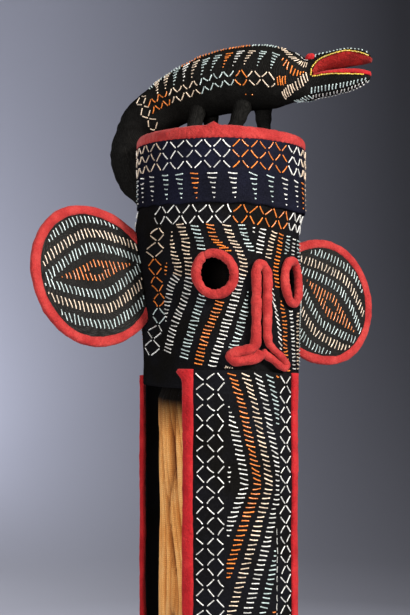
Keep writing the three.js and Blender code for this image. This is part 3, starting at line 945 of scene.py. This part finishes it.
# Each leg's foot on the crown and its hip inside the belly: s and t.
LEGS = dict(
    front_right=((22, 33), (42, 11)),
    front_left=((52, -30), (54, -14)),
    hind_right=((-33, 33), (-24, 11)),
    hind_left=((-20, -32), (-24, -12)),
)


def in_crocodile(s, t, h):
    """Points of the crocodile's frame in the part's frame."""
    s, t, h = (np.asarray(v, float)[..., None] for v in np.broadcast_arrays(s, t, h))
    return s * AHEAD + t * SIDEWAYS + h * np.array([0.0, 0.0, 1.0])


body_line = spline(BODY, 160)
body_length = np.concatenate([[0], np.cumsum(np.hypot(*np.diff(body_line[:, :2], axis=0).T))])
body_ahead = headings(body_line[:, :2])


def crocodile_at(u, v):
    """A point of the body's skin: u along it from the tail's tip, v down its right side from the ridge."""
    s, h, wide, high = (np.interp(u, body_length, body_line[:, n]) for n in range(4))
    ahead_s, ahead_h = (np.interp(u, body_length, body_ahead[:, n]) for n in range(2))
    turn = np.pi / 2 - v / ((wide + high) / 2)
    side, up = wide * np.cos(turn), high * np.sin(turn)
    return in_crocodile(s - ahead_h * up, side, h + ahead_s * up)


def half_oval(s, wide, lips, far, count=15):
    """Half a section of a jaw: from its right lip, by way of its far side, to its left lip."""
    turn = np.linspace(0, np.pi, count)
    return in_crocodile(s, wide * np.cos(turn), lips + (far - lips) * np.sin(turn))


def remeshed(piece, voxel, rounds):
    """One closed skin over the piece's overlapping parts, smoothed."""
    modifier = piece.modifiers.new("skin", "REMESH")
    modifier.mode = "VOXEL"
    modifier.voxel_size = voxel * MM
    relax = piece.modifiers.new("relax", "SMOOTH")
    relax.factor = 0.5
    relax.iterations = rounds
    applied(piece)
    piece.data.polygons.foreach_set("use_smooth", [True] * len(piece.data.polygons))
    return piece


def moved_out(piece, shift):
    """Moves each vertex along its normal by shift(points) millimetres."""
    mesh = piece.data
    count = len(mesh.vertices)
    points, normals = np.empty(count * 3), np.empty(count * 3)
    mesh.vertices.foreach_get("co", points)
    mesh.vertices.foreach_get("normal", normals)
    points, normals = points.reshape(-1, 3), normals.reshape(-1, 3)
    points = points + normals * shift(points / MM)[:, None] * MM
    mesh.vertices.foreach_set("co", points.ravel())
    mesh.update()


def joined(name, parts):
    """One object made of several."""
    with bpy.context.temp_override(active_object=parts[0], selected_editable_objects=parts):
        bpy.ops.object.join()
    parts[0].name = name
    return parts[0]


def make_crocodile_body():
    u = np.linspace(0.5, body_length[-1], 110)[:, None]
    wide, high = (np.interp(u, body_length, body_line[:, n]) for n in (2, 3))
    v = (around(40) - np.pi)[None, :] * (wide + high) / 2
    parts = [tube_mesh("skin_body", crocodile_at(u, v), black_stuffed, closed=False)]
    for jaw in (UPPER_JAW, LOWER_JAW):
        rows = spline(jaw, 40)
        rings = [half_oval(s, wide, lips, outside) for s, wide, outside, lips, _ in rows]
        parts.append(tube_mesh("skin_jaw", rings, black_stuffed, closed=False))
    piece = remeshed(joined("crocodile_skin", parts), 1.7, 12)

    def wrinkles(points):
        s = points @ AHEAD
        gathered = smooth(s, -95, -128) * np.sin(points[:, 2] / 3.4 + 3 * lumps(points, 26, 8))
        return 0.7 * lumps(points, 24, 4) + 0.3 * lumps(points, 8, 6) + 0.5 * gathered - 0.3

    moved_out(piece, wrinkles)
    return place(piece, "crocodile_body", slot="black_cloth", fill=0.95)


def make_crocodile_mouth():
    # The upper lining takes the darker felt copy, painted shade under the upper jaw.
    jaws = (("upper", UPPER_JAW, -1, shaded_mouth_felt), ("lower", LOWER_JAW, 1, crimson_felt))
    for name, jaw, way, red in jaws:
        rings = []
        for s, wide, _, lips, face in spline(jaw, 66):
            if s > MOUTH_CORNER - 1:
                rings.append(half_oval(s, wide - 1.4, lips - way * 0.5, face + way * 0.4, 19))
        rings = np.array(rings)
        piece = tube_mesh(f"crocodile_lining_{name}", felt_skin(rings, 0.25, way * 5), red, closed=False)
        place(piece, f"crocodile_mouth_{name}", slot="red_felt")


def make_crocodile_eyes():
    """Round bumps on the head, a little uneven."""
    s, h, size = 127, 1382.2, 6.4
    for side, t in (("right", 11), ("left", -11)):
        turn = around(24)[None, :]
        rise = np.linspace(0.04, np.pi * 0.62, 12)[:, None]
        r = size * np.sin(rise) + 0.4 * np.sin(3 * turn)
        points = in_crocodile(s + r * np.cos(turn), t + r * np.sin(turn), h + size * np.cos(rise))
        points = felt_skin(points, 0.3, t)
        piece = tube_mesh(f"crocodile_eye_felt_{side}", points, crimson_felt, closed=False)
        place(piece, f"crocodile_eye_{side}", slot="red_felt", fill=0.8)


def roll_rings(path, radius):
    """Rings square to a path of points."""
    ahead = headings(path)
    across = np.cross(ahead, np.array([0.0, 0.0, 1.0]) + 0.001)
    across /= np.linalg.norm(across, axis=1)[:, None]
    other = np.cross(across, ahead)
    turn = around(16)[None, :, None]
    spoke = np.cos(turn) * across[:, None] + np.sin(turn) * other[:, None]
    return path[:, None] + radius[:, None, None] * spoke


def make_crocodile_legs():
    """Short stuffed legs, wrinkled where they bend, each ending in a blunt foot on the crown."""
    floor = TOP_Z - 0.2
    for name, (foot, hip) in LEGS.items():
        low = in_crocodile(*foot, floor)
        middle = (low + in_crocodile(*hip, 1345)) / 2
        path = spline([low, low + [0, 0, 5], middle, in_crocodile(*hip, 1347)], 46)
        at = np.linspace(0, 1, 46)
        size = LEG_RADIUS * np.interp(at, [0, 0.05, 0.14, 0.4, 0.8, 1], [0.62, 1.0, 1.12, 1.0, 1.4, 1.5])
        size = size * (1 + 0.04 * np.sin(at * 34 + foot[0]))
        rings = roll_rings(path, size)
        rings = rings + (0.5 * lumps(rings, 10, foot[1]))[..., None] * np.array([0.7, 0.7, 0])
        rings[..., 2] = np.maximum(rings[..., 2], floor - 1.2)
        piece = tube_mesh(f"crocodile_leg_cloth_{name}", rings, black_stuffed, closed=False)
        place(piece, f"crocodile_leg_{name}", slot="black_cloth", fill=0.9)


# Beadwork of the hood and the brow band

ROUND = 2 * math.pi * TOP_RADIUS


def off_rings(along, z):
    """Whether a point of the hood is clear of both eye rings."""
    clear = [eye_place(eye, along, z) > 1 + EYE_TUBE / eye["half_width"] for eye in (RIGHT_EYE, LEFT_EYE)]
    return all(clear)


def sew_band():
    """Three mirrored zigzags that make diamonds, and a ring of short tapering columns below them."""
    cloth = Cloth(band_at, Beadwork("band"))
    half = ROUND / 60
    start = -95 - half * 13
    colour = changing(("cream", -128), ("white", -39), ("orange", 40), ("white", 80), "cream")
    for k, z in enumerate((1264.2, 1251.4, 1238.4)):
        cloth.zigzag(colour, (start, z), (start + ROUND, z), 12.6, half, mirrored=k == 1)
    places = [-175, -150, -124, -103, -83, -61, -36, -10, 14, 38, 64, 87]
    places += [*range(111, 350, 24), -199, -223, -247, -271]
    names = "white white blue blue orange white white blue blue white white orange".split()
    for k, x in enumerate(places):
        name = names[k] if k < len(names) else ("cream", "white", "blue")[k % 3]
        cloth.stripe(name, [(x, 1227), (x + 3, 1197)], pitch=5.9, half=5.6, taper=(0, 5), tilt=-5)
    cloth.work.build()


def sew_hood():
    """Stripes of short strands that part round the eyes and the nose, under a row of diamonds."""
    cloth = Cloth(hood_at, Beadwork("hood"), keep=off_rings)
    half = ROUND / 64
    start = -98 - half * 4
    colours = changing(("white", -34), ("orange", 52), "white")
    cloth.diamonds(colours, (start, 1177), (start + half * 30, 1177), 13.2, half)
    cloth.diamonds("white", (216, 1177), (216 + half * 24, 1177), 13.2, half)
    # A column of diamonds beside the ear: the crossings between them, and each one's two side corners.
    crossings = [(-130, 1162), (-132, 1144), (-140, 1124), (-140, 1101), (-136, 1080), (-138, 1061)]
    crossings = np.array([*crossings, (-138, 1039), (-149, 1020), (-157, 998)])
    corners = [(-148, -120), (-160, -122), (-157, -126), (-153, -127), (-149, -125), (-151, -123)]
    corners += [(-165, -129), (-178, -132)]
    for k, name in enumerate(("cream", "cream", "orange", "orange", "orange", "blue", "white", "white")):
        for x in corners[k]:
            corner = np.array([x, crossings[k : k + 2, 1].mean()])
            for end in crossings[k : k + 2]:
                gap = 0.13 * (corner - end)
                cloth.strand(name, end + gap, corner - gap)
    cloth.stripe("orange", [(-119, 1117), (-122, 1103)], half=2.6, taper=(2, 2))

    def fading(u, v):
        return "cream" if v > 1100 else "white"

    right_side = [(-109, 1155), (-109, 1142), (-106, 1125), (-102, 1109), (-105, 1100), (-113, 1091)]
    right_side += [(-118, 1079), (-121, 1067), (-123, 1056), (-123, 1044)]
    by_the_eye = [(-98, 1165), (-94, 1155), (-90, 1145), (-90, 1134), (-87, 1115), (-87, 1105), (-89, 1091)]
    by_the_eye += [(-96, 1069), (-107, 1046), (-117, 1018), (-121, 1005)]
    by_the_nose = [(-38, 1162), (-31, 1145), (-22, 1130), (-18, 1112), (-25, 1090), (-37, 1054)]
    by_the_nose += [(-46, 1026), (-58, 989)]
    # Each stripe's colour, lean and path.
    whole = [
        ("blue", 0.1, [(-78, 1162), (-72, 1146), (-68, 1128)]),
        ("blue", 0.3, [(-69, 1080), (-77, 1059), (-84, 1037), (-92, 1012), (-96, 998)]),
        ("orange", 0.1, [(-59, 1163), (-52, 1145), (-38, 1131)]),
        ("orange", 0.2, [(-48, 1073), (-57, 1049), (-67, 1026), (-76, 991)]),
        (fading, 0.1, by_the_nose),
        ("blue", 0.1, [(-19, 1163), (-13, 1146), (-7, 1133)]),
        ("white", 0.1, [(10, 1161), (6, 1140), (4, 1131)]),
        ("cream", 0.1, [(28, 1160), (21, 1141), (17, 1127)]),
        ("orange", 0.1, [(41, 1159), (37, 1140), (31, 1121), (29, 1110), (31, 1092)]),
        ("blue", 0.1, [(59, 1158), (53, 1136)]),
        ("white", 0.1, [(58, 1063), (65, 1032), (71, 989)]),
        ("white", 0.1, [(77, 1156), (71, 1136)]),
        ("cream", 0.1, [(84, 1061), (83, 1030), (87, 989)]),
        ("blue", 0.1, [(96, 1155), (97, 1100), (100, 1050), (106, 992)]),
        ("white", 0.1, [(118, 1155), (120, 1100), (124, 1050), (127, 995)]),
    ]
    for name, lean, path in whole:
        half, tilt = (4.6, -3) if path[0][0] > -25 else (5.5, -9)
        cloth.stripe(name, path, half=half, tilt=tilt, lean=lean)
    cloth.stripe(fading, right_side, taper=(7, 5), lean=0.5)
    cloth.stripe(fading, by_the_eye, lean=0.5)
    cloth.stripe("blue", [(-14, 1080), (-19, 1055), (-26, 1028), (-33, 1010)], taper=(6, 0), lean=0.2)
    cloth.stripe("orange", [(37, 1074), (44, 1045), (46, 1018), (54, 987)], half=4.6, taper=(3, 0), tilt=-3)
    path = [(21, 1095), (24, 1071), (32, 1043), (37, 1014)]
    cloth.stripe("white", path, pitch=6.5, half=4.0, taper=(2, 1), tilt=-38)
    cloth.stripe("white", [(-3, 1161), (-3, 1156)], half=1.6)
    cloth.stripe("cream", [(-42, 987), (-34, 985.5)], pitch=3.0, half=1.6, tilt=60)
    for k, x in enumerate((-300, -274, -248, -222, 150, 214, 240, 266, 292, 318)):
        name = ("white", "blue", "cream", "orange")[k % 4]
        cloth.stripe(name, [(x, 1155), (x + 3, 1085), (x - 4, 995)], pitch=6.0)
    cloth.work.build()


# Beadwork of the ears


def sew_ear(side, ear, centre, droop, tilt, high):
    """A lozenge with a small dark centre, and three rows above and below it that close round it."""
    turned = math.radians(droop)
    front = -np.sign(ear_frame(ear)[1][1])

    def flat(a, b):
        x = centre[0] + a * math.cos(turned) + b * math.sin(turned)
        return x, centre[1] + b * math.cos(turned) - a * math.sin(turned)

    def at(a, b):
        x, z = flat(a, b)
        return in_ear(ear, x, front * ear_puff(x, z), z)

    def keep(a, b):
        x, z = flat(a, b)
        here = at(a, b)
        inside = np.hypot(x / (ear_long(np.arctan2(z, x)) - 14.6), z / (EAR_HALF_HEIGHT - 14.6)) < 1
        return inside and np.hypot(here[0], here[1]) > hood_radius(here[2]) + 3

    cloth = Cloth(at, Beadwork(f"ear_{side}"), sign=-front, keep=keep, bead=1.75)
    for middle, name in ((30.5, "blue"), (49.5, "cream"), (69.5, "blue")):
        for way in (-1, 1):
            path = [(a, way * (middle - 25 * (abs(a) / 70) ** 1.5)) for a in np.arange(-105, 106, 15.0)]
            cloth.stripe(name, path, pitch=6.1, half=5.9, tilt=tilt)
    lie = np.array([math.cos(math.radians(tilt)), math.sin(math.radians(tilt))])
    for a in np.arange(-54, 55, 6.0):
        reach = 1.0 + high * (1 - abs(a) / 56)
        middle = np.array([a, 0.0])
        gap = 5.0 if abs(a) < 8 else 1.2
        if abs(a) < 22:
            cloth.strand("orange", middle - gap * lie, middle - reach * lie)
            cloth.strand("orange", middle + gap * lie, middle + reach * lie)
        else:
            cloth.strand("orange", middle - reach * lie, middle + reach * lie)
    cloth.work.build()


# Beadwork of the panels


def sew_front_panel():
    """Winding stripes between a wide lattice on the panel's right and a narrow one on its left."""
    # At each height, how far the stripes have swayed and how far apart they are.
    sway = [(48, -40), (200, 6), (270, 25), (300, 20), (400, -6), (480, -30), (560, -50), (600, -44)]
    sway += [(683, -22), (710, -14), (737, -6), (761, 2), (787, 10), (813, 19), (839, 27), (862, 24)]
    sway += [(887, 18), (914, 12), (939, 7), (965, -1), (983, -7)]
    apart = [(560, 18), (683, 20), (773, 19), (838, 16.5), (900, 16), (983, 16.5)]

    def keep(along, z):
        return -28.5 < along < (37 if z < 813 else 43)

    top, low = front.top - 1.5, front.low + 1
    cloth = Cloth(front.at, Beadwork("front_panel"))
    for left, right, mirrored in ((-67.2, -54, False), (-54, -40.7, True), (-40.7, -29.8, False)):
        middle = (left + right) / 2
        cloth.zigzag("white", (middle, top), (middle, low), right - left, 12.8, mirrored, gap=0.17)
    for middle, mirrored in ((49.2, False), (61, True)):
        cloth.zigzag("white", (middle, top), (middle, low), 11.8, 12.8, mirrored)
    for z in np.arange(786, low, -12.0):
        cloth.strand("white", (39.2, z), (39.2, z - 8), bead=1.1)
    cloth.keep = keep
    levels = np.arange(top - 4, low, -8.0)
    order = ("cream", "white", "blue", "orange", "cream", "white", "blue", "white", "orange")
    # The stripes beside the wide lattice start further down.
    starts = {-4: 600, -3: 600, -2: 938}
    for k in range(-4, 6):
        seen = levels[levels < starts.get(k, top)]
        path = [(np.interp(z, *zip(*sway)) + k * np.interp(z, *zip(*apart)), z) for z in seen]
        taper = (4 if k < -1 else 0, 0)
        cloth.stripe(order[k % 9], path, pitch=6.1, half=5.5, taper=taper, tilt=-10, lean=-0.5)
    cloth.stripe("white", [(-25, 863), (-25, 845)], pitch=6.0, half=1.9, taper=(1, 1), tilt=0)
    cloth.work.build()


def sew_back_panel():
    """Plainer: a lattice down each side and straight stripes between."""
    cloth = Cloth(back.at, Beadwork("back_panel"))
    top, low = back.top - 2.5, back.low + 1
    for middle, mirrored in ((-77, False), (-65, True), (65, False), (77, True)):
        cloth.zigzag("white", (middle, top), (middle, low), 12.0, 13.6, mirrored, gap=0.13)
    for k, name in enumerate(("white", "orange", "blue", "cream")):
        x = -39 + 26 * k
        path = [(x + 6 * math.sin(z / 120), z) for z in np.arange(top - 3, low, -20.0)]
        cloth.stripe(name, path, pitch=6.6, tilt=0)
    cloth.work.build()


# Beadwork of the crocodile


def on_skin(at, skin):
    """Points of the skin's mesh nearest to the points that at gives."""

    def fitted(u, v):
        found = skin.find_nearest(Vector(at(u, v) * MM))[0]
        return np.array(found) / MM

    return fitted


def jaw_at(jaw, way):
    """Places on one side of a jaw's skin: s along it, and the angle round it from the lip, in degrees."""
    rows = spline(jaw, 40)

    def at(s, turn):
        wide, far, lips = (np.interp(s, rows[:, 0], rows[:, n]) for n in (1, 2, 3))
        turn = math.radians(turn)
        return in_crocodile(s, way * wide * math.cos(turn), lips + (far - lips) * math.sin(turn))

    return at


def sew_crocodile(skin):
    """Both sides alike, 1 for the right one: the flank, both jaws, and the strand at the mouth's corner."""
    work = Beadwork("crocodile")
    for way in (1, -1):
        flank = on_skin(lambda u, v: crocodile_at(u, way * v), skin)
        sew_flank(Cloth(flank, work, sign=-way))
        for jaw, high in ((UPPER_JAW, 1), (LOWER_JAW, -1)):
            at = on_skin(jaw_at(jaw, way), skin)
            sew_jaw(Cloth(at, work, sign=way * high), high, way * SIDEWAYS)
        corner = [in_crocodile(s, way * 21.8, h) for s, h in ((130.2, 1357.5), (MOUTH_CORNER, 1366.5))]
        work.strand("yellow", *corner, way * SIDEWAYS, YELLOW_BEAD)
    work.build()


def sew_flank(cloth):
    """Tapering groups below the ridge, a row of diamonds, a short row by the tail, and fans at the neck."""
    cloth.diamonds("orange", (285, 73), (303, 74), 10.5, 9.2)
    cloth.diamonds("cream", (303, 74), (340, 69), 10.5, 9.2)
    line = [(154, 51), (187, 60), (233, 72), (285, 73)]
    for name, start, end in zip(("orange", "cream", "blue"), line, line[1:]):
        for shift in (-5.5, 5.5):
            ends = [(u, v + shift) for u, v in (start, end)]
            cloth.zigzag(name, *ends, 10.0, 7.6, mirrored=True)
    cloth.diamonds("cream", (147, 24), (146, 80), 9.0, 9.3)
    names = "cream cream blue white cream blue blue orange white cream blue blue".split()
    tops = (178, 191, 205, 219, 234, 247, 262, 276, 291, 305, 319, 335)
    ends = (174, 186, 199, 213, 226, 240, 254, 270, 284, 298, 315, 333)
    for name, top, end in zip(names, tops, ends):
        low = np.interp(end, [174, 199, 240, 333], [43, 49, 58, 55])
        cloth.stripe(name, [(top, low - 22), (end, low)], pitch=4.4, half=4.4, taper=(0, 5), tilt=0)
    ridge = changing(("blue", 208), ("orange", 300), ("blue", 330), "cream")
    path = [(165, 22), (208, 21), (237, 20), (266, 17), (300, 14), (340, 12)]
    cloth.stripe(ridge, path, pitch=3.6, half=4.6, tilt=80)
    cloth.stripe("orange", [(344, 36), (358, 42), (373, 36)], pitch=4.3, half=5.6, taper=(1, 4), tilt=98)
    cloth.stripe("orange", [(342, 66), (347, 62), (352, 58)], pitch=4.4, half=4.8, tilt=80)
    for k, u in enumerate(np.arange(342, 379, 3.4)):
        middle = np.array([u, np.interp(u, [342, 353, 372], [18, 25, 25])])
        lie = -math.radians(25 + 6 * k)
        step = 4.4 * np.array([math.cos(lie), math.sin(lie)])
        cloth.strand("cream", middle - step, middle + step, bead=1.6)
    for u in (352, 361, 370):
        cloth.strand("white", (u, 10 + (u - 352) / 4), (u + 7, 12 + (u - 352) / 4), bead=1.6)
    cloth.stripe("cream", [(350, 80), (359, 64), (368, 50), (377, 39)], pitch=5.0, half=5.0, tilt=72)
    cloth.stripe("blue", [(363, 84), (371, 72), (377, 66)], pitch=5.0, half=3.8, tilt=60)
    for u in (297, 306):
        cloth.strand("orange", (u, 95), (u + 1.6, 95))


def sew_jaw(cloth, high, side):
    """A yellow line along the lip, and rows of short strands across the jaw. side points out from it."""
    tip, above = (203.5, 11) if high > 0 else (202.5, 4)
    line = [*np.arange(MOUTH_CORNER, 145, 2.8), *np.arange(145, tip, 5.8)]
    for near, far in zip(line, line[1:]):
        ends = (cloth.at(s, above) for s in (near, far))
        cloth.work.strand("yellow", *ends, side + 0.2 * AHEAD, YELLOW_BEAD)
    rows = ((44, 10, "blue"), (71, 9, "white")) if high < 0 else ((60, 17, "blue"),)
    for turn, reach, name in rows:
        for s in np.arange(129, 201, 4.6):
            cloth.strand(name, (s + 0.8, turn - reach), (s - 0.8, turn + reach))


# Camera, backdrop and light


def make_camera():
    """The photograph's view: level with the ears, 26 degrees to the mask's right of its face."""
    data = bpy.data.cameras.new("camera")
    data.lens = 61.46
    data.sensor_width = 36
    data.shift_x = -0.026
    data.shift_y = -0.0073
    camera = bpy.data.objects.new("camera", data)
    camera.location = (-0.6175, -1.2660, 1.0663)
    camera.rotation_euler = (math.radians(90), 0, math.radians(-26))
    bpy.context.scene.collection.objects.link(camera)
    bpy.context.scene.camera = camera


def make_backdrop():
    """A pale floor that sweeps up into a wall all round, with painted light on the wall: paler on the mask's
    right than on its left.
    """
    look = Look("backdrop")
    colour = look.ramp(look.attribute("shade"), (0.0, (0.045, 0.044, 0.048)), (1.0, (0.58, 0.59, 0.68)))
    material = look.done(colour, None, {"Roughness": 0.9, "Specular IOR Level": 0.2})
    rise = np.linspace(0, np.pi / 2, 24)
    sweep = zip(3000 + 4500 * np.sin(rise), 5500 * (1 - np.cos(rise)))
    profile = [(10, 0), (800, 0), (1600, 0), (2400, 0), *sweep]
    r, z = (np.array(column)[:, None] for column in zip(*profile))
    sides = 96
    points = turned_about(r, np.linspace(0, 360, sides, endpoint=False)[None, :], z)
    faces = [f[::-1] for f in grid_faces(len(profile), sides, closed=True)]
    faces.append(tuple(range(sides)))
    backdrop = add_mesh("backdrop", points, faces, material)
    # Painted light: across the wall in view the colour runs from pale on the mask's right to dark on its
    # left, as light falling off, and the plain pale floor blends into it.
    across = points @ np.array([-0.9, 0.44, 0.0])
    wall = np.interp(across, [-5000, -2600, -1600, -300, 1700], [0.5, 0.05, 0.0, 0.3, 1.0])
    wall = 0.5 + (wall - 0.5) * smooth(points @ np.array([0.44, 0.9, 0.0]), 0, 2000)
    floor = smooth(r, 2600, 1400)
    set_values(backdrop, "shade", wall + (0.85 - wall) * floor)


def make_light(name, place_at, aim, size, power, colour=(1, 1, 1)):
    data = bpy.data.lights.new(name, "AREA")
    data.size = size
    data.energy = power
    data.color = colour
    light = bpy.data.objects.new(name, data)
    light.location = place_at
    light.rotation_euler = (Vector(aim) - Vector(place_at)).to_track_quat("-Z", "Y").to_euler()
    bpy.context.scene.collection.objects.link(light)


def make_stage():
    """The key light comes from the mask's front left. Others fill, catch the edges, and light the wall."""
    make_backdrop()
    world = bpy.data.worlds.new("studio")
    world.use_nodes = True
    world.node_tree.nodes["Background"].inputs[0].default_value = (0.62, 0.66, 0.74, 1)
    world.node_tree.nodes["Background"].inputs[1].default_value = 0.36
    bpy.context.scene.world = world
    bpy.context.scene.view_settings.view_transform = "Standard"
    make_light("key", (1.0, -2.0, 2.3), (0, 0, 1.1), 0.55, 118, (1.0, 0.97, 0.94))
    make_light("fill", (-1.7, -2.1, 1.2), (0, 0, 0.85), 0.8, 54, (1.0, 0.98, 0.96))
    make_light("edge", (-1.0, 2.4, 2.2), (0, 0, 0.8), 1.4, 45)
    make_light("wall", (-0.6, 4.2, 1.3), (1.2, 5.6, 1.3), 1.2, 36, (0.86, 0.89, 1.0))


make_camera()
make_stage()
make_hood()
make_hood_top()
make_brow_band()
make_crown_binding()
make_eye_ring("right", RIGHT_EYE, 118)
make_eye_ring("left", LEFT_EYE, 60)
make_nose()
make_ear("right", RIGHT_EAR)
make_ear_binding("right", RIGHT_EAR)
make_ear("left", LEFT_EAR)
make_ear_binding("left", LEFT_EAR)
front = Panel("front", -7.0, 37.4, 983.0, dict(right=300.0, left=855.0), 0.7)
back = Panel("back", 180.0, 48.0, 967.0, dict(right=772.0, left=520.0), 2.1)
front.make()
back.make()
make_bolster()
make_foot()
crocodile = make_crocodile_body()
make_crocodile_mouth()
make_crocodile_eyes()
make_crocodile_legs()
sew_band()
sew_hood()
sew_ear("right", RIGHT_EAR, (-7, 5), 10.0, 86.0, 13.5)
sew_ear("left", LEFT_EAR, (5, -7), 43.0, 105.0, 17.0)
sew_front_panel()
sew_back_panel()
sew_crocodile(BVHTree.FromObject(crocodile, bpy.context.evaluated_depsgraph_get()))
